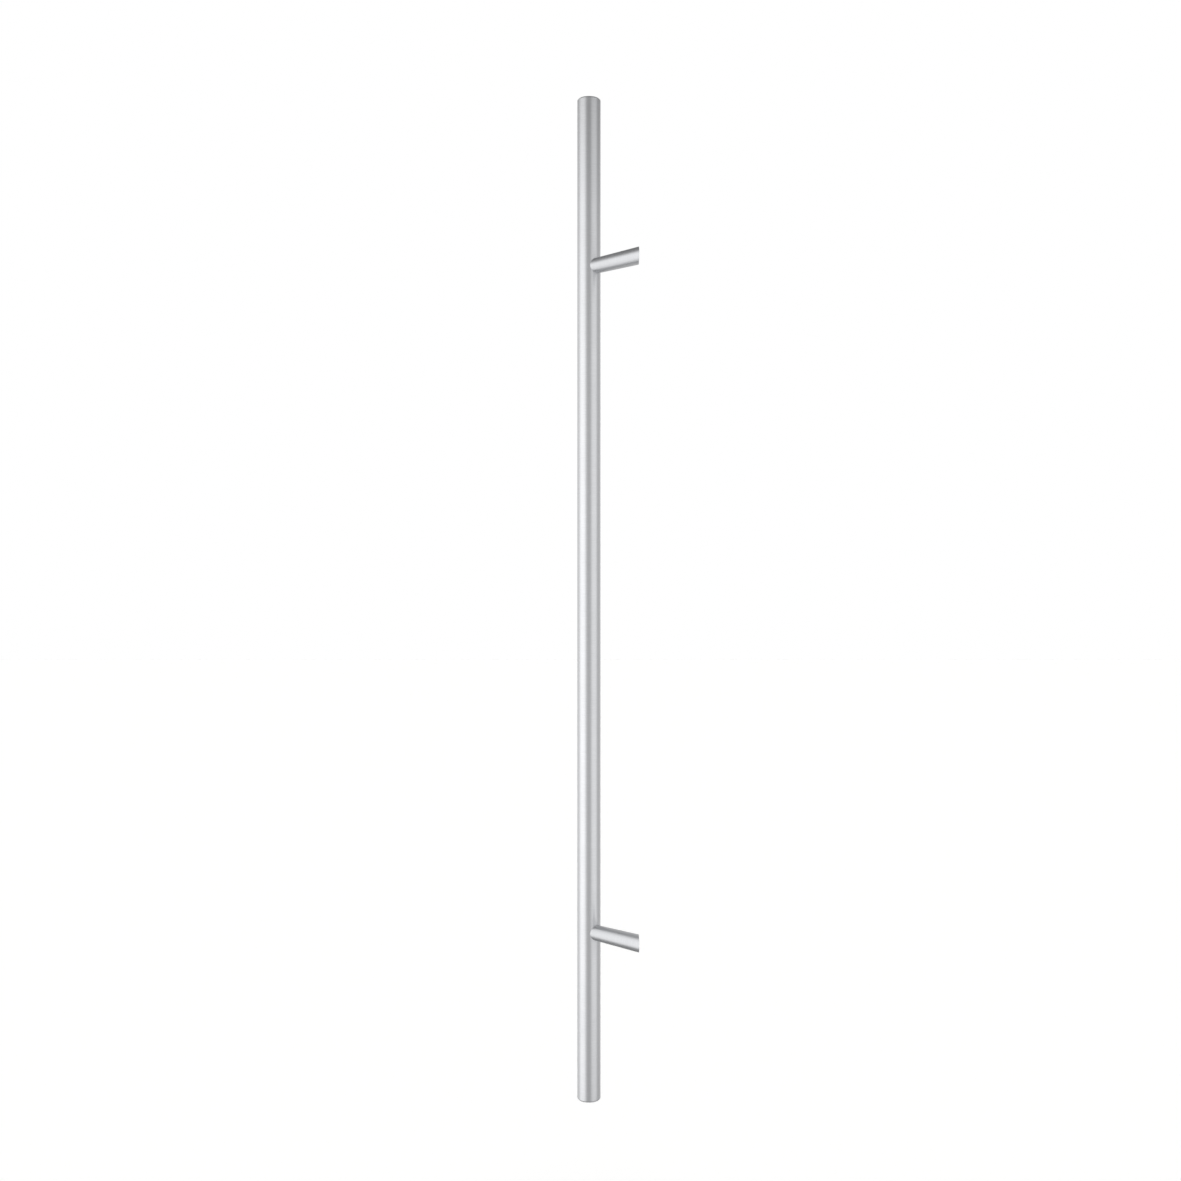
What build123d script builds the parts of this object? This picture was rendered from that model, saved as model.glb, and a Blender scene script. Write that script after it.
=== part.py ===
from build123d import *
from math import cos, radians, sin, tan
import os

# Door pull handle: a round grip tube carried by two legs that run sideways at an angle.
# Millimetres. +Z runs up the grip, the door face is the plane Y = 0 and the handle stands on
# its -Y side. The origin lies on the door face, midway between the two fixing holes.

# Grip tube
grip_diameter = 35.0
grip_wall = 2.0
tube_length = 1500.0

# Turned end caps, pressed into the tube
cap_head = 3.0  # what stands beyond the tube's end
cap_rim_chamfer = 2.0
cap_spigot_length = 10.0
cap_lead_in = 1.0  # chamfer on the spigot's end
cap_fit = 0.05  # radial play in the tube's bore

# Legs, turned to a slight taper, coped to the grip and mitred to the door face
fixing_centres = 1000.0
grip_projection = 72.5  # door face to the grip's axis
leg_angle = 45.0  # between the leg and the door's normal
leg_grip_diameter = 22.5  # where the leg's axis meets the grip's axis
leg_door_diameter = 25.0  # where the leg's axis meets the door face
saddle_gap = 0.05  # between the coped end and the tube

# Blind fixing holes in the door face, tapped M8
fixing_thread = 8.0
fixing_depth = 10.0
fixing_countersink = 0.5

# Low head socket screw M8 x 20, from inside the tube into the leg
screw_thread = 8.0
screw_length = 20.0
screw_head_diameter = 13.0
screw_head_height = 5.0
screw_key = 5.0  # across the flats of the hexagon socket
screw_socket_depth = 3.0
screw_chamfer = 0.6
screw_play = 0.2  # radial, in the holes that it passes through
thread_play = 0.05  # radial, between a plain shank and a tapped hole drawn at its nominal size
tap_run_out = 3.0  # hole left past the screw's tip
drill_point = 118.0  # angle of the cone at the bottom of a blind hole

# Split spring washer under the screw's head
washer_diameter = 14.8
washer_thickness = 2.0
washer_slit = 0.8
washer_slit_angle = 20.0  # from square to the washer's faces

# Half-moon plate between the washer and the tube's bore
plate_width = 18.0
plate_length = 24.0
plate_thickness = 5.0  # at its middle
plate_gap = 0.05  # between the plate and the bore

# Worked out from the sizes above
grip_radius = grip_diameter / 2
bore_radius = grip_radius - grip_wall
grip_offset = grip_projection * tan(radians(leg_angle))  # along X, from the fixing holes
leg_length = grip_projection / cos(radians(leg_angle))  # grip axis to door face, along the leg
leg_taper = (leg_door_diameter - leg_grip_diameter) / 2 / leg_length
pass_radius = screw_thread / 2 + screw_play
grip_axis = Location((-grip_offset, -grip_projection, 0))

# Heights along a leg's axis, measured from the grip's axis
plate_seat = bore_radius - plate_gap - plate_thickness
washer_seat = plate_seat - washer_thickness
screw_tip = washer_seat + screw_length


def leg_frame(level):
    # Z runs from the grip's axis to the door along the leg, X runs up the grip
    direction = (sin(radians(leg_angle)), cos(radians(leg_angle)), 0)
    return Plane((-grip_offset, -grip_projection, level), x_dir=(0, 0, 1), z_dir=direction).location


def turned(*outline):
    # Half outline as (radius, height) points, spun about Z
    wire = Polyline([(radius, 0, height) for radius, height in outline], close=True)
    return revolve(make_face(wire), Axis.Z)


def blind_hole(radius, depth):
    # Drilled upwards from height 0, with the cone that the drill leaves
    cone = radius / tan(radians(drill_point / 2))
    return turned((0, 0), (radius, 0), (radius, depth), (0, depth + cone))


def make_grip_tube(levels):
    tube = Cylinder(grip_radius, tube_length) - Cylinder(bore_radius, tube_length)
    tube = grip_axis * tube
    for level in levels:
        drill = Cylinder(pass_radius, grip_diameter, align=(Align.CENTER, Align.CENTER, Align.MIN))
        tube -= leg_frame(level) * drill
    return tube


def make_end_cap():
    # Drawn with its head upwards, the tube's end at height 0
    spigot_radius = bore_radius - cap_fit
    return turned(
        (0, -cap_spigot_length), (spigot_radius - cap_lead_in, -cap_spigot_length),
        (spigot_radius, cap_lead_in - cap_spigot_length), (spigot_radius, 0),
        (grip_radius, 0), (grip_radius, cap_head - cap_rim_chamfer),
        (grip_radius - cap_rim_chamfer, cap_head), (0, cap_head),
    )


def make_leg():
    # The blank runs past the door face, so that the mitre cuts through its whole width
    blank_end = leg_length + leg_door_diameter * tan(radians(leg_angle))
    end_radius = leg_grip_diameter / 2 + leg_taper * blank_end
    leg = turned((0, 0), (leg_grip_diameter / 2, 0), (end_radius, blank_end), (0, blank_end))
    leg -= blind_hole(screw_thread / 2, screw_tip + tap_run_out)
    leg = leg_frame(0) * leg

    # Cope round the grip, then mitre in the door face
    leg -= grip_axis * Cylinder(grip_radius + saddle_gap, grip_diameter + leg_door_diameter)
    leg = split(leg, bisect_by=Plane.XZ, keep=Keep.TOP)

    # Fixing hole, square to the door face
    hole = blind_hole(fixing_thread / 2, fixing_depth)
    hole += Cone(
        fixing_thread / 2 + fixing_countersink, fixing_thread / 2, fixing_countersink,
        align=(Align.CENTER, Align.CENTER, Align.MIN),
    )
    return leg - Plane.XZ.location * hole


def make_clamp_plate():
    # Half-moon section across the grip, drawn in the leg's frame with the grip along X
    outer_radius = bore_radius - plate_gap
    chord = Rectangle(plate_width, plate_thickness, align=(Align.CENTER, Align.MAX))
    section = Circle(outer_radius) & Pos(0, outer_radius) * chord
    plate = extrude(Plane.YZ.offset(-plate_length / 2) * section, plate_length)
    return plate - Cylinder(pass_radius, 2 * outer_radius)


def make_lock_washer():
    # Cut through at one place, by a slit that leans to the washer's faces
    ring = Cylinder(washer_diameter / 2, washer_thickness) - Cylinder(pass_radius, washer_thickness)
    slit = Box(washer_slit, washer_diameter, 2 * washer_thickness)
    slit = Pos(0, washer_diameter / 2) * Rot(Y=washer_slit_angle) * slit
    return Pos(Z=washer_seat + washer_thickness / 2) * (ring - slit)


def make_leg_screw():
    # Drawn with the underside of its head at height 0 and its tip upwards
    head_radius = screw_head_diameter / 2
    shank_radius = screw_thread / 2 - thread_play
    screw = turned(
        (0, -screw_head_height), (head_radius - screw_chamfer, -screw_head_height),
        (head_radius, screw_chamfer - screw_head_height), (head_radius, 0),
        (shank_radius, 0), (shank_radius, screw_length - screw_chamfer),
        (shank_radius - screw_chamfer, screw_length), (0, screw_length),
    )
    socket = extrude(RegularPolygon(screw_key / 2, 6, major_radius=False), screw_socket_depth)
    return Pos(Z=washer_seat) * (screw - Pos(Z=-screw_head_height) * socket)


levels = {"upper": fixing_centres / 2, "lower": -fixing_centres / 2}
cap = grip_axis * Pos(Z=tube_length / 2) * make_end_cap()
leg = make_leg()
joint = {
    "clamp_plate": make_clamp_plate(),
    "lock_washer": make_lock_washer(),
    "leg_screw": make_leg_screw(),
}

pieces = {
    "grip_tube": make_grip_tube(levels.values()),
    "upper_end_cap": cap,
    "lower_end_cap": mirror(cap, about=Plane.XY),
}
for side, level in levels.items():
    pieces[f"{side}_leg"] = Pos(Z=level) * leg
    for name, piece in joint.items():
        pieces[f"{side}_{name}"] = leg_frame(level) * piece

os.makedirs("parts", exist_ok=True)
for name, piece in pieces.items():
    export_step(piece, f"parts/{name}.step")
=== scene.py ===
from math import cos, pi, radians, sin, sqrt, tan

import bmesh
import bpy
from mathutils import Matrix, Vector


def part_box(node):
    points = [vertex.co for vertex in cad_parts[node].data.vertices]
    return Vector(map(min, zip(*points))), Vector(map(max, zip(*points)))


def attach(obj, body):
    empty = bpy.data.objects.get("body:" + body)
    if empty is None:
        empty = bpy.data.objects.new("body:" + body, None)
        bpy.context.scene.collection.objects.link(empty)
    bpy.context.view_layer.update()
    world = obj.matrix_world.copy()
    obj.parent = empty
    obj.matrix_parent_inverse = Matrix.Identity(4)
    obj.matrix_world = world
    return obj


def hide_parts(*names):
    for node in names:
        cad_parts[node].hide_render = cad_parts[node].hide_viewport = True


# Door pull handle in satin stainless steel: a long round grip on two legs set at an angle.
# Metres. +Z runs up the grip, the door face is the plane Y = 0, the handle is on its -Y side.

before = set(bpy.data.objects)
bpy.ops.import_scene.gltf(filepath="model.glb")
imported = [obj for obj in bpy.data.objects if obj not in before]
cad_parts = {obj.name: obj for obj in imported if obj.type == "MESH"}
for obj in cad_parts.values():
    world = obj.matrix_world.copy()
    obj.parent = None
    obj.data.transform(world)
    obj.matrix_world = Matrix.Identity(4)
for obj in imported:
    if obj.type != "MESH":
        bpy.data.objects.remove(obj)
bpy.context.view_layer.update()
print("frame loaded:", ", ".join(sorted(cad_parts)))

mm = 0.001
roundSteps = 160  # points round every turned form, fine enough for a clean edge in close-up
crispAngle = 30  # degrees; an edge that turns by more stays sharp in the shading
weldWithin = 0.002 * mm  # points this near are one, such as a cut leaves in doubles
drillPoint = radians(118)  # angle of the cone at the bottom of a blind hole
legAngle = radians(45)  # between a leg and the door's normal


# Where things are, read from the frame

capLow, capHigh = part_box("upper_end_cap")
legLow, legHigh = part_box("upper_leg")
gripRadius = (capHigh.x - capLow.x) / 2
gripAxis = Vector(((capHigh.x + capLow.x) / 2, (capHigh.y + capLow.y) / 2, 0))
gripTop = capHigh.z
legHeight = (legHigh.z + legLow.z) / 2
projection = legHigh.y - gripAxis.y  # grip's axis to the door face
legWay = Vector((sin(legAngle), cos(legAngle), 0))  # along a leg, from the grip to the door


# Mesh making

def ring(radius, height, steps=roundSteps):
    turn = 2 * pi / steps
    return [Vector((radius * cos(i * turn), radius * sin(i * turn), height)) for i in range(steps)]


def skin(name, loops, closed=False):
    # Joins loops of points one after another, and with closed the last to the first. A loop
    # of one point closes an end
    points, rings = [], []
    for loop in loops:
        rings.append(range(len(points), len(points) + len(loop)))
        points += loop
    if closed:
        rings.append(rings[0])
    faces = []
    for near, far in zip(rings, rings[1:]):
        steps = max(len(near), len(far))
        for i in range(steps):
            j = (i + 1) % steps
            if len(near) == 1:
                faces.append((near[0], far[j], far[i]))
            elif len(far) == 1:
                faces.append((near[i], near[j], far[0]))
            else:
                faces.append((near[i], near[j], far[j], far[i]))
    mesh = bpy.data.meshes.new(name)
    mesh.from_pydata(points, [], faces)
    smoothMesh(mesh)
    return addObject(name, mesh)


def smoothMesh(mesh):
    work = bmesh.new()
    work.from_mesh(mesh)
    bmesh.ops.remove_doubles(work, verts=work.verts, dist=weldWithin)
    bmesh.ops.recalc_face_normals(work, faces=work.faces)
    work.to_mesh(mesh)
    work.free()
    mesh.shade_smooth()
    mesh.set_sharp_from_angle(angle=radians(crispAngle))


def addObject(name, data):
    thing = bpy.data.objects.new(name, data)
    bpy.context.scene.collection.objects.link(thing)
    return thing


def place(piece, matrix, material, node):
    piece.matrix_world = matrix
    piece.data.materials.append(material)
    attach(piece, "root")
    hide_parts(node)


# Shading helpers

def hexColour(text):
    # sRGB hex to linear
    channels = [int(text[i:i + 2], 16) / 255 for i in (1, 3, 5)]
    return [c / 12.92 if c <= 0.04045 else ((c + 0.055) / 1.055) ** 2.4 for c in channels] + [1]


def addNode(tree, kind, inputs=None, **settings):
    # inputs gives a socket, by name or number, the output that feeds it or its fixed value
    node = tree.nodes.new(kind)
    for name, value in settings.items():
        setattr(node, name, value)
    for name, source in (inputs or {}).items():
        if isinstance(source, bpy.types.NodeSocket):
            tree.links.new(source, node.inputs[name])
        else:
            node.inputs[name].default_value = source
    return node


def newMaterial(name):
    material = bpy.data.materials.new(name)
    material.use_nodes = True
    material.node_tree.nodes.clear()
    return material, material.node_tree


# Satin stainless steel, the finish of everything that shows

satin = {
    "roughness": 0.36,
    "roughnessSwing": 0.07,  # up and down from there, with the lines and patches
    "anisotropy": 0.6,
    "blurTurn": 0.25,  # a quarter turn, so that reflections blur across the lines
    "grain": 0.3 * mm,  # grinding lines; the real ones are about 0.08 mm, too fine to show
    "beltGrain": 0.39 * mm,  # coarser lines of a belt; the real ones are about 0.1 mm
    "grainLength": 14.0 * mm,  # how far one line runs
    "grainDetail": 4.0,  # how many times finer lines come between
    "grainShare": 0.65,  # strength of each finer set against the one before
    "grainBump": 0.02 * mm,
    "grainTone": 0.1,  # how much darker the deepest lines are, and lighter the highest
    "patch": 90.0 * mm,  # slow change of polish along a piece
}

noiseLow = 0.3  # a noise seldom goes below this
noiseHigh = 0.7  # or above this


def grindingLines(tree, spot, belt):
    # Noise squeezed along Z into lines. Round a turned form they become rings, on its flat
    # end too; a belt leaves straight ones
    parts = addNode(tree, "ShaderNodeSeparateXYZ", {"Vector": spot}).outputs
    along = parts["Z"]
    if not belt:
        flat = addNode(tree, "ShaderNodeCombineXYZ", {0: parts["X"], 1: parts["Y"]})
        radius = addNode(tree, "ShaderNodeVectorMath", {0: flat.outputs[0]}, operation="LENGTH")
        inputs = {0: along, 1: radius.outputs["Value"]}
        along = addNode(tree, "ShaderNodeMath", inputs, operation="SUBTRACT").outputs[0]
    squeeze = satin["grainLength"] / satin["beltGrain" if belt else "grain"]
    fine = addNode(tree, "ShaderNodeMath", {0: along, 1: squeeze}, operation="MULTIPLY")
    inputs = {0: parts["X"], 1: parts["Y"], 2: fine.outputs[0]}
    squeezed = addNode(tree, "ShaderNodeCombineXYZ", inputs)
    inputs = {
        "Vector": squeezed.outputs[0], "Scale": 1 / satin["grainLength"],
        "Detail": satin["grainDetail"], "Roughness": satin["grainShare"],
    }
    return addNode(tree, "ShaderNodeTexNoise", inputs).outputs[0]


def acrossAxis(tree, axis):
    # Direction of the lines, square to the axis and to the surface's normal
    facing = addNode(tree, "ShaderNodeNewGeometry").outputs["Normal"]
    cross = addNode(tree, "ShaderNodeVectorMath", {0: axis, 1: facing}, operation="CROSS_PRODUCT")
    inputs = {0: cross.outputs[0]}
    return addNode(tree, "ShaderNodeVectorMath", inputs, operation="NORMALIZE").outputs[0]


def satinStainless(name, colour, axis=None, belt=False):
    # Stainless steel 304 ground to a satin: fine lines round the axis draw each reflection out
    # along the piece and keep it fairly sharp across. axis is for lines that don't run round
    # the object's own Z
    material, tree = newMaterial(name)
    spot = addNode(tree, "ShaderNodeTexCoord").outputs["Object"]
    if axis is None:
        tangent = addNode(tree, "ShaderNodeTangent", direction_type="RADIAL", axis="Z").outputs[0]
    else:
        upright = axis.rotation_difference(Vector((0, 0, 1))).to_euler()
        spot = addNode(tree, "ShaderNodeMapping", {"Vector": spot, "Rotation": upright}).outputs[0]
        tangent = acrossAxis(tree, axis)

    lines = grindingLines(tree, spot, belt)
    inputs = {"Vector": spot, "Scale": 1 / satin["patch"]}
    patches = addNode(tree, "ShaderNodeTexNoise", inputs).outputs[0]
    blend = addNode(tree, "ShaderNodeMath", {0: lines, 1: patches}, operation="ADD").outputs[0]
    rough = addNode(
        tree, "ShaderNodeMapRange",
        {
            "Value": blend, "From Min": 2 * noiseLow, "From Max": 2 * noiseHigh,
            "To Min": satin["roughness"] - satin["roughnessSwing"],
            "To Max": satin["roughness"] + satin["roughnessSwing"],
        },
    )
    tone = addNode(
        tree, "ShaderNodeMapRange",
        {
            "Value": lines, "From Min": noiseLow, "From Max": noiseHigh,
            "To Min": 1 - satin["grainTone"], "To Max": 1 + satin["grainTone"],
        },
    )
    inputs = {"Value": tone.outputs[0], "Color": hexColour(colour)}
    tinted = addNode(tree, "ShaderNodeHueSaturation", inputs)
    relief = addNode(tree, "ShaderNodeBump", {"Height": lines, "Distance": satin["grainBump"]})
    steel = addNode(
        tree, "ShaderNodeBsdfPrincipled",
        {
            "Base Color": tinted.outputs[0], "Roughness": rough.outputs[0],
            "Normal": relief.outputs[0], "Tangent": tangent, "Metallic": 1.0,
            "Anisotropic": satin["anisotropy"], "Anisotropic Rotation": satin["blurTurn"],
        },
    )
    addNode(tree, "ShaderNodeOutputMaterial", {"Surface": steel.outputs[0]})
    return material


# Grip tube

grip = {
    "colour": "#CBCCCE",
    "wall": 2.0 * mm,
    "endBreak": 0.15 * mm,  # broken edge, shows as a hairline where a cap meets the tube
    "screwHole": 4.2 * mm,  # radius of the hole that a leg's screw passes through
    "holeBand": 7.0 * mm,  # rows of the mesh this far above and below a screw hole
}

# Centreless grinding leaves even rings from end to end, so the tube shows long clean bands of
# light and dark, and is the brightest piece
groundSteel = satinStainless("Stainless 304, centreless ground satin", grip["colour"])


def makeGripTube():
    inner = gripRadius - grip["wall"]
    end = gripTop - cap["head"]
    edge = grip["endBreak"]
    rows = [0, legHeight - grip["holeBand"], legHeight + grip["holeBand"]]
    heights = [-z for z in reversed(rows[1:])] + rows
    loops = [ring(gripRadius, edge - end)]
    loops += [ring(gripRadius, z) for z in heights]
    loops += [ring(gripRadius, end - edge), ring(gripRadius - edge, end), ring(inner, end)]
    loops += [ring(inner, z) for z in reversed(heights)]
    loops += [ring(inner, -end), ring(gripRadius - edge, -end)]
    tube = skin("gripTube", loops, closed=True)
    for level in (legHeight, -legHeight):
        drillHole(tube, level)
    place(tube, Matrix.Translation(gripAxis), groundSteel, "grip_tube")


def drillHole(tube, level):
    # From the grip's axis out through the wall, towards the leg
    hole = grip["screwHole"]
    far = 2 * gripRadius
    drill = skin("drill", [[Vector()], ring(hole, 0), ring(hole, far), [Vector((0, 0, far))]])
    drill.matrix_world = Matrix.Translation((0, 0, level)) @ legTurn()
    cut = tube.modifiers.new("screw hole", "BOOLEAN")
    cut.object = drill
    cut.solver = "EXACT"
    bpy.context.view_layer.update()
    graph = bpy.context.evaluated_depsgraph_get()
    drilled = bpy.data.meshes.new_from_object(tube.evaluated_get(graph))
    tube.modifiers.clear()
    tube.data = drilled
    bpy.data.objects.remove(drill)
    smoothMesh(tube.data)


# Legs

leg = {
    "colour": "#C2C3C5",
    "doorColour": "#C4C5C7",
    "gripRadius": 11.25 * mm,  # at the grip's axis
    "doorRadius": 12.5 * mm,  # at the door face
    "saddleGap": 0.05 * mm,  # between the coped end and the tube
    "edgeBreak": 0.3 * mm,  # bevel round the coped end and round the door face
    "screwHole": 4.0 * mm,  # radius of the blind hole that the leg's screw enters
    "screwHoleEnd": 31.45 * mm,  # from the grip's axis
    "sideSteps": 24,  # rows of the mesh
    "saddleSteps": 4,
    "doorSteps": 2,
    "saddlePasses": 8,  # repeats that find where the tapered side meets the saddle
    "flatWithin": 0.01 * mm,  # faces this near the door plane take the linished finish
}

# Turned, with the rings round the leg's own axis, so that its bands run out to the door; a
# shade darker than the grip
legSteel = satinStainless("Stainless 304, turned satin leg", leg["colour"], legWay)

# Linished on a belt: straight level lines, which make the flat cut at the door an even pale grey
linishedSteel = satinStainless(
    "Stainless 304, linished flat", leg["doorColour"], Vector((0, 0, 1)), belt=True,
)

legLength = projection / cos(legAngle)
legTaper = (leg["doorRadius"] - leg["gripRadius"]) / legLength


def legTurn():
    # From a leg's own axes, Z towards the door and X up the grip, to the row's
    up = Vector((0, 0, 1))
    return Matrix((up, legWay.cross(up), legWay)).transposed().to_4x4()


def onSaddle(radius, angle):
    # A point of the coped end, which lies on the grip
    x, y = radius * cos(angle), radius * sin(angle)
    return Vector((x, y, sqrt((gripRadius + leg["saddleGap"]) ** 2 - y * y)))


def onSide(angle, share):
    # A point of the tapered side, from its saddle edge (0) to its door edge (1)
    start = gripRadius
    for _ in range(leg["saddlePasses"]):
        start = onSaddle(leg["gripRadius"] + legTaper * start, angle).z
    lean = sin(angle) * sin(legAngle)
    end = (projection + leg["gripRadius"] * lean) / (cos(legAngle) - legTaper * lean)
    start += leg["edgeBreak"]
    end -= leg["edgeBreak"]
    z = start + (end - start) * share
    radius = leg["gripRadius"] + legTaper * z
    return Vector((radius * cos(angle), radius * sin(angle), z))


def onDoor(x, across, depth=0):
    # A point of the door face, or below it: x up, across along the door, depth into the leg
    y = across * cos(legAngle) + depth * sin(legAngle)
    z = legLength + across * sin(legAngle) - depth * cos(legAngle)
    return Vector((x, y, z))


# Tapped fixing hole in a leg's door face

thread = {
    "radius": 4.0 * mm,  # M8
    "pitch": 1.25 * mm,
    "depth": 0.68 * mm,  # from root to crest
    "crestFlat": 0.1,  # share of the pitch
    "rootFlat": 0.21,
    "length": 10.0 * mm,  # from the door face to the drill's cone
    "countersink": 0.5 * mm,
    "stepsPerTurn": 8,  # rows of the mesh
}


def threadRadius(angle, depth):
    # Triangular ridge that climbs one pitch a turn and fades in below the countersink
    turn = (depth / thread["pitch"] + angle / (2 * pi)) % 1
    slope = 1 - thread["rootFlat"] - thread["crestFlat"]
    ridge = (1 - thread["rootFlat"] - abs(2 * turn - 1)) / slope
    fade = (depth - thread["countersink"]) / thread["pitch"]
    return thread["radius"] - thread["depth"] * min(1, max(0, ridge)) * min(1, max(0, fade))


def fixingHole(angles):
    # Square to the door, from the countersink's foot to the drill's cone
    step = thread["pitch"] / thread["stepsPerTurn"]
    loops = []
    for row in range(int((thread["length"] - thread["countersink"]) / step) + 1):
        depth = thread["countersink"] + row * step
        radii = [threadRadius(a, depth) for a in angles]
        loops.append([onDoor(r * cos(a), r * sin(a), depth) for r, a in zip(radii, angles)])
    core = thread["radius"] - thread["depth"]
    loops.append([onDoor(core * cos(a), core * sin(a), thread["length"]) for a in angles])
    loops.append([onDoor(0, 0, thread["length"] + core / tan(drillPoint / 2))])
    return loops


def doorFace(angles):
    # From its broken edge in to the countersink
    mouth = thread["radius"] + thread["countersink"]
    loops = []
    for step in range(leg["doorSteps"] + 1):
        loop = []
        for a in angles:
            edge = onSide(a, 1)
            rim = Vector((edge.x, edge.y / cos(legAngle)))
            rim *= 1 - leg["edgeBreak"] / rim.length
            inner = Vector((mouth * cos(a), mouth * sin(a)))
            loop.append(onDoor(*rim.lerp(inner, step / leg["doorSteps"])))
        loops.append(loop)
    return loops


def makeLeg(name, node, level):
    angles = [2 * pi * i / roundSteps for i in range(roundSteps)]
    hole = leg["screwHole"]
    holeEnd = leg["screwHoleEnd"]
    loops = [[Vector((0, 0, holeEnd + hole / tan(drillPoint / 2)))], ring(hole, holeEnd)]

    # Coped face, from the screw hole out to its broken edge
    reach = leg["gripRadius"] + legTaper * gripRadius - leg["edgeBreak"]
    for step in range(leg["saddleSteps"] + 1):
        radius = hole + (reach - hole) * step / leg["saddleSteps"]
        loops.append([onSaddle(radius, a) for a in angles])

    for step in range(leg["sideSteps"] + 1):
        loops.append([onSide(a, step / leg["sideSteps"]) for a in angles])
    loops += doorFace(angles)
    loops += fixingHole(angles)

    turned = [[legTurn() @ point for point in loop] for loop in loops]
    piece = skin(name, turned)
    place(piece, Matrix.Translation(gripAxis + Vector((0, 0, level))), legSteel, node)
    piece.data.materials.append(linishedSteel)
    for face in piece.data.polygons:
        if abs(face.center.y - projection) < leg["flatWithin"]:
            face.material_index = 1


# End caps

cap = {
    "colour": "#C8C9CB",
    "head": 3.0 * mm,  # what a cap adds beyond the tube's end
    "rimChamfer": 2.0 * mm,
    "rimSlope": radians(45),
    "rimEase": 0.35 * mm,  # rounding of the chamfer's two edges
    "easeSteps": 4,
    "spigotLength": 10.0 * mm,
    "spigotFit": 0.05 * mm,  # play in the tube's bore
    "leadIn": 1.0 * mm,  # chamfer on the spigot's end
}

# Faced and turned: the rings go on round the flat end, where light fans out from the middle
turnedSteel = satinStainless("Stainless 304, turned satin cap", cap["colour"])


def easedRim():
    # The chamfer, with both of its edges rounded off
    ease = cap["rimEase"]
    back = ease * tan(cap["rimSlope"] / 2)  # from a sharp edge to where its rounding starts
    foot = (gripRadius - ease, cap["head"] - cap["rimChamfer"] - back)
    top = (gripRadius - cap["rimChamfer"] - back, cap["head"] - ease)
    loops = []
    for (x, z), first in ((foot, 0), (top, cap["rimSlope"])):
        for step in range(cap["easeSteps"] + 1):
            turn = first + step / cap["easeSteps"] * cap["rimSlope"]
            loops.append(ring(x + ease * cos(turn), z + ease * sin(turn)))
    return loops


def makeCap(name, node, flip=False):
    # Drawn with its head upwards and the tube's end at height 0
    head = cap["head"]
    edge = grip["endBreak"]
    spigot = gripRadius - grip["wall"] - cap["spigotFit"]
    foot = -cap["spigotLength"]
    loops = [[Vector((0, 0, foot))], ring(spigot - cap["leadIn"], foot)]
    loops += [ring(spigot, foot + cap["leadIn"]), ring(spigot, 0)]
    loops += [ring(gripRadius - edge, 0), ring(gripRadius, edge)]
    loops += easedRim()
    loops += [ring((gripRadius - cap["rimChamfer"]) / 2, head), [Vector((0, 0, head))]]
    end = head - gripTop if flip else gripTop - head
    spin = Matrix.Rotation(pi, 4, "X") if flip else Matrix.Identity(4)
    where = Matrix.Translation(gripAxis + Vector((0, 0, end)))
    place(skin(name, loops), where @ spin, turnedSteel, node)


makeGripTube()
print("grip tube made")
makeCap("upperEndCap", "upper_end_cap")
makeCap("lowerEndCap", "lower_end_cap", flip=True)
print("end caps made")
makeLeg("upperLeg", "upper_leg", legHeight)
makeLeg("lowerLeg", "lower_leg", -legHeight)
print("legs made")


# Fixings inside the tube

formed = {
    "colour": "#C2C1BD",
    "roughness": 0.38,
    "roughnessSwing": 0.08,
    "texture": 1.2 * mm,  # size of the unevenness
    "textureDetail": 4.0,
    "bump": 0.02 * mm,
    "nodes": ("_clamp_plate", "_lock_washer", "_leg_screw"),  # how their names end
}


def formedStainless():
    # A2 stainless as it leaves the forming press: bright, a little uneven, no polish
    material, tree = newMaterial("Stainless A2, cold formed")
    spot = addNode(tree, "ShaderNodeTexCoord").outputs["Object"]
    inputs = {"Vector": spot, "Scale": 1 / formed["texture"], "Detail": formed["textureDetail"]}
    uneven = addNode(tree, "ShaderNodeTexNoise", inputs).outputs[0]
    rough = addNode(
        tree, "ShaderNodeMapRange",
        {
            "Value": uneven, "To Min": formed["roughness"] - formed["roughnessSwing"],
            "To Max": formed["roughness"] + formed["roughnessSwing"],
        },
    )
    relief = addNode(tree, "ShaderNodeBump", {"Height": uneven, "Distance": formed["bump"]})
    steel = addNode(
        tree, "ShaderNodeBsdfPrincipled",
        {
            "Base Color": hexColour(formed["colour"]), "Metallic": 1.0,
            "Roughness": rough.outputs[0], "Normal": relief.outputs[0],
        },
    )
    addNode(tree, "ShaderNodeOutputMaterial", {"Surface": steel.outputs[0]})
    return material


formedSteel = formedStainless()
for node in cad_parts:
    if node.endswith(formed["nodes"]):
        shown = bpy.data.objects[node]
        shown.data.materials.clear()
        shown.data.materials.append(formedSteel)
print("fixings finished")


# Studio. A ring of white wall that only the metal's reflections see, in metres about the
# handle's middle. It darkens above and below, so the edges of the legs and the ends of the
# grip do too

surround = {
    "radius": 1.1,
    "height": 5.0,
    "steps": 96,
    "level": 1.0,
    "top": 1.12,
    "bottom": -1.42,
    "fade": 0.45,  # softness of those two edges
    "dimmed": 0.31,  # share of the level that is left past them
    "overhead": 0.4,  # what the reflections find past the ring
    "underneath": 0.55,
    "horizon": 0.2,  # softness between those two
}

# Panels on that ring. Bearings in degrees from the handle, 0 at the camera, + to its right
panels = {
    "keySoftbox": {"bearing": -68, "halfWidth": 31, "fade": 11, "level": 1.65},
    "sideSoftbox": {"bearing": 55, "halfWidth": 27, "fade": 8, "level": 1.19},
    "cameraSide": {"bearing": -1.5, "halfWidth": 21.5, "fade": 7, "level": 0.66},
    "doorSide": {"bearing": 153, "halfWidth": 69, "fade": 7, "level": 0.68},
    "rearStrip": {"bearing": 156, "halfWidth": 9, "fade": 6, "level": 1.15},
}

white = hexColour("#FFFFFF")


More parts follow.
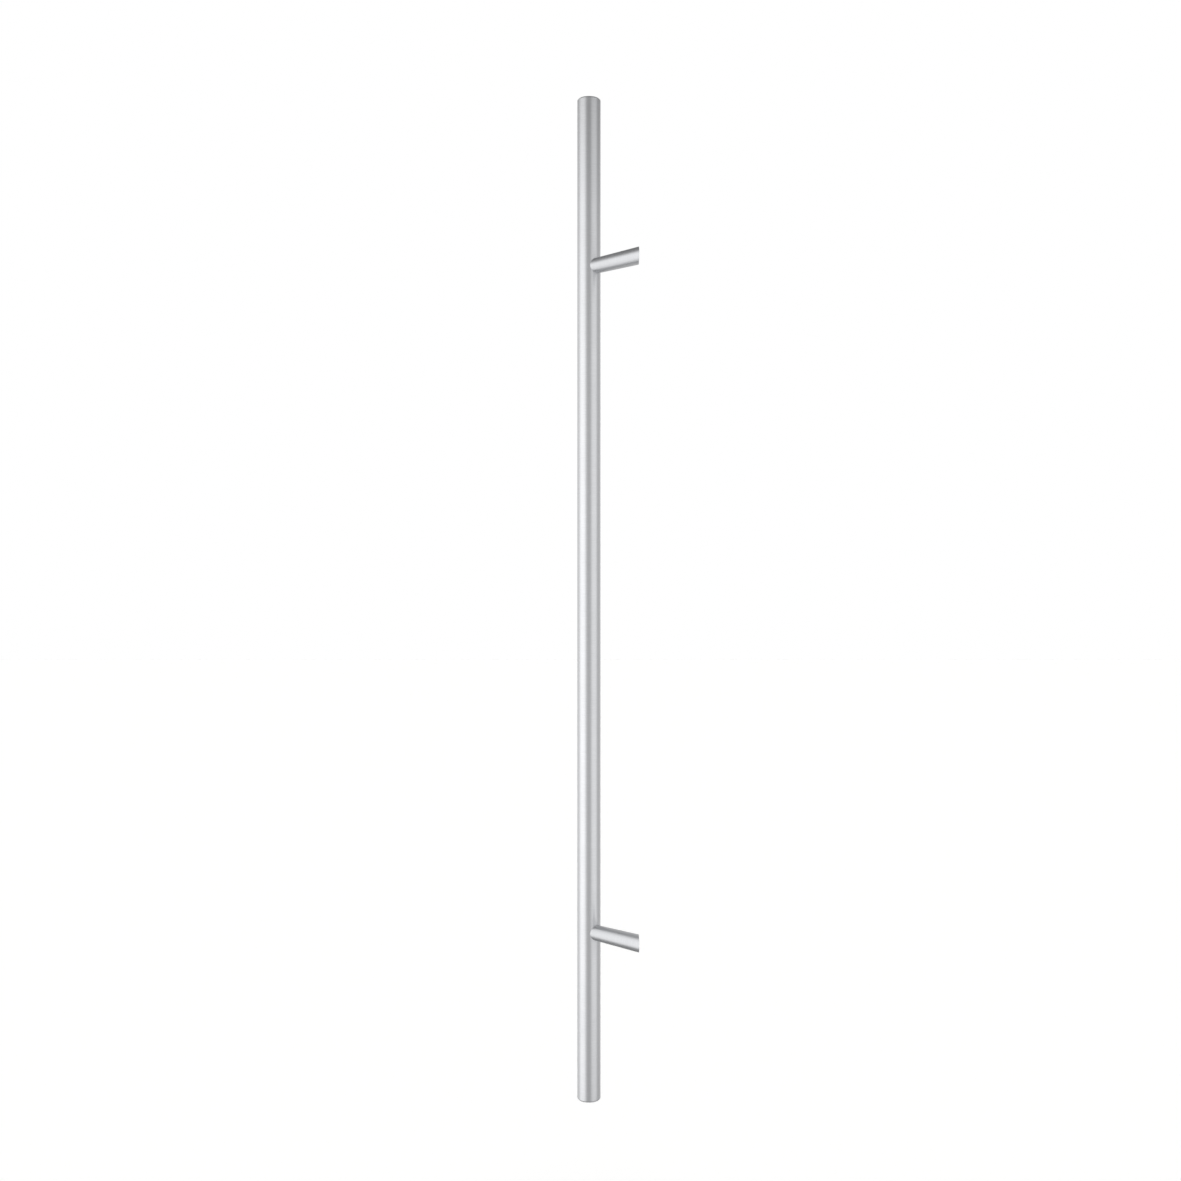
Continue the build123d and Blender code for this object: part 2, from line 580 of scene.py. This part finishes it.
def fadeOut(tree, offset, half, fade, least=0.0):
    # 1 within half of the middle, least outside, over a soft edge
    far = addNode(tree, "ShaderNodeMath", {0: offset}, operation="ABSOLUTE")
    inputs = {
        "Value": far.outputs[0], "From Min": half - fade, "From Max": half + fade,
        "To Min": 1.0, "To Max": least,
    }
    return addNode(tree, "ShaderNodeMapRange", inputs, interpolation_type="SMOOTHSTEP").outputs[0]


def surroundMaterial():
    material, tree = newMaterial("White studio wall with softboxes")
    where = addNode(tree, "ShaderNodeTexCoord").outputs["Object"]
    parts = addNode(tree, "ShaderNodeSeparateXYZ", {"Vector": where}).outputs
    inputs = {0: parts["Y"], 1: parts["X"]}
    turn = addNode(tree, "ShaderNodeMath", inputs, operation="ARCTAN2").outputs[0]
    level = surround["level"]
    for panel in panels.values():
        inputs = {0: turn, 1: radians(panel["bearing"])}
        away = addNode(tree, "ShaderNodeMath", inputs, operation="SUBTRACT").outputs[0]
        inputs = {0: away, 1: pi, 2: -pi}
        wrapped = addNode(tree, "ShaderNodeMath", inputs, operation="WRAP").outputs[0]
        inside = fadeOut(tree, wrapped, radians(panel["halfWidth"]), radians(panel["fade"]))
        inputs = {"Factor": inside, "A": level, "B": panel["level"]}
        level = addNode(tree, "ShaderNodeMix", inputs).outputs[0]  # the next one lies over it

    middle = (surround["top"] + surround["bottom"]) / 2
    half = surround["top"] - middle
    up = addNode(tree, "ShaderNodeMath", {0: parts["Z"], 1: middle}, operation="SUBTRACT")
    lit = fadeOut(tree, up.outputs[0], half, surround["fade"], surround["dimmed"])
    level = addNode(tree, "ShaderNodeMath", {0: level, 1: lit}, operation="MULTIPLY").outputs[0]
    glow = addNode(tree, "ShaderNodeEmission", {"Color": white, "Strength": level})
    addNode(tree, "ShaderNodeOutputMaterial", {"Surface": glow.outputs[0]})
    return material


def makeSurround():
    ends = (-surround["height"] / 2, surround["height"] / 2)
    wall = skin("surround", [ring(surround["radius"], z, surround["steps"]) for z in ends])
    wall.location = gripAxis
    wall.data.materials.append(surroundMaterial())
    wall.visible_camera = False
    wall.visible_diffuse = False
    wall.visible_transmission = False
    wall.visible_shadow = False


# White background, and a white paper floor below the handle as if it hung on a door

studio = {
    "backdrop": 1.0,  # what the camera sees behind the handle, where 1 is white
    "fill": 0.6,  # light on matt surfaces from all round
    "floorDrop": 1.1,  # metres below the handle's middle
    "floorSize": 40.0,
    "paper": "#F2F2F1",
    "paperGlow": 0.25,  # brings the lit paper up to white for the camera
    "lamp": 0.8,
    "lampSpread": 14,  # degrees, for a soft shadow
    "lampTilt": 12,  # degrees from straight above, towards the camera
}


def makeWorld():
    # The camera sees plain white, reflections that miss the ring see its dark ends, and matt
    # surfaces get the fill
    world = bpy.data.worlds.new("white studio")
    world.use_nodes = True
    tree = world.node_tree
    tree.nodes.clear()
    way = addNode(tree, "ShaderNodeTexCoord").outputs["Generated"]
    parts = addNode(tree, "ShaderNodeSeparateXYZ", {"Vector": way}).outputs
    inputs = {
        "Value": parts["Z"], "From Min": -surround["horizon"], "From Max": surround["horizon"],
        "To Min": surround["underneath"], "To Max": surround["overhead"],
    }
    past = addNode(tree, "ShaderNodeMapRange", inputs, interpolation_type="SMOOTHSTEP").outputs[0]
    rays = addNode(tree, "ShaderNodeLightPath").outputs
    inputs = {"Factor": rays["Is Glossy Ray"], "A": studio["fill"], "B": past}
    mirrored = addNode(tree, "ShaderNodeMix", inputs).outputs[0]
    inputs = {"Factor": seenStraight(tree), "A": mirrored, "B": studio["backdrop"]}
    shown = addNode(tree, "ShaderNodeMix", inputs).outputs[0]
    sky = addNode(tree, "ShaderNodeBackground", {"Color": white, "Strength": shown})
    addNode(tree, "ShaderNodeOutputWorld", {"Surface": sky.outputs[0]})
    bpy.context.scene.world = world


def seenStraight(tree):
    # 1 for the camera, through clear material too
    rays = addNode(tree, "ShaderNodeLightPath").outputs
    inputs = {0: rays["Is Camera Ray"], 1: rays["Is Transmission Ray"]}
    return addNode(tree, "ShaderNodeMath", inputs, operation="MAXIMUM").outputs[0]


def makeFloor():
    half = studio["floorSize"] / 2
    corners = [(-half, -half), (half, -half), (half, half), (-half, half)]
    mesh = bpy.data.meshes.new("floor")
    mesh.from_pydata([(x, y, -studio["floorDrop"]) for x, y in corners], [], [(0, 1, 2, 3)])
    floor = addObject("floor", mesh)
    material, tree = newMaterial("White studio paper, matt")
    inputs = {0: seenStraight(tree), 1: studio["paperGlow"]}
    level = addNode(tree, "ShaderNodeMath", inputs, operation="MULTIPLY").outputs[0]
    paper = addNode(tree, "ShaderNodeBsdfDiffuse", {"Color": hexColour(studio["paper"])})
    glow = addNode(tree, "ShaderNodeEmission", {"Color": white, "Strength": level})
    both = addNode(tree, "ShaderNodeAddShader", {0: paper.outputs[0], 1: glow.outputs[0]})
    addNode(tree, "ShaderNodeOutputMaterial", {"Surface": both.outputs[0]})
    mesh.materials.append(material)
    floor.visible_glossy = False  # the metal sees the panels below the horizon too


def makeLamp():
    # Lights the floor alone: the metal shows the panels instead
    light = bpy.data.lights.new("overhead lamp", "SUN")
    light.angle = radians(studio["lampSpread"])
    light.energy = studio["lamp"]
    lamp = addObject("overheadLamp", light)
    lamp.rotation_euler = (0, radians(studio["lampTilt"]), 0)
    lamp.visible_glossy = False


makeWorld()
makeSurround()
makeFloor()
makeLamp()
bpy.context.scene.view_settings.view_transform = "Standard"
print("studio ready")


# Camera, level, looking along the door from a little above the handle's middle

photo = {
    "width": 1181,  # pixels, as all but the last of these
    "focal": 1360.0,
    "centre": 590.0,  # column and row that the camera points at
    "gripX": 588.5,  # column of the grip's axis
    "gripWidth": 23.22,
    "middleY": 598.7,  # row of the handle's middle
    "farthest": 100,  # metres, how far the camera sees
}

pixel = 2 * gripRadius / photo["gripWidth"]  # real size of a pixel at the grip
camera = addObject("camera", bpy.data.cameras.new("camera"))
camera.data.lens = camera.data.sensor_width * photo["focal"] / photo["width"]
camera.data.clip_end = photo["farthest"]
camera.location = gripAxis + Vector((
    photo["focal"] * pixel,
    (photo["centre"] - photo["gripX"]) * pixel,
    (photo["middleY"] - photo["centre"]) * pixel,
))
camera.rotation_euler = (radians(90), 0, radians(90))
bpy.context.scene.camera = camera
print("camera ready")
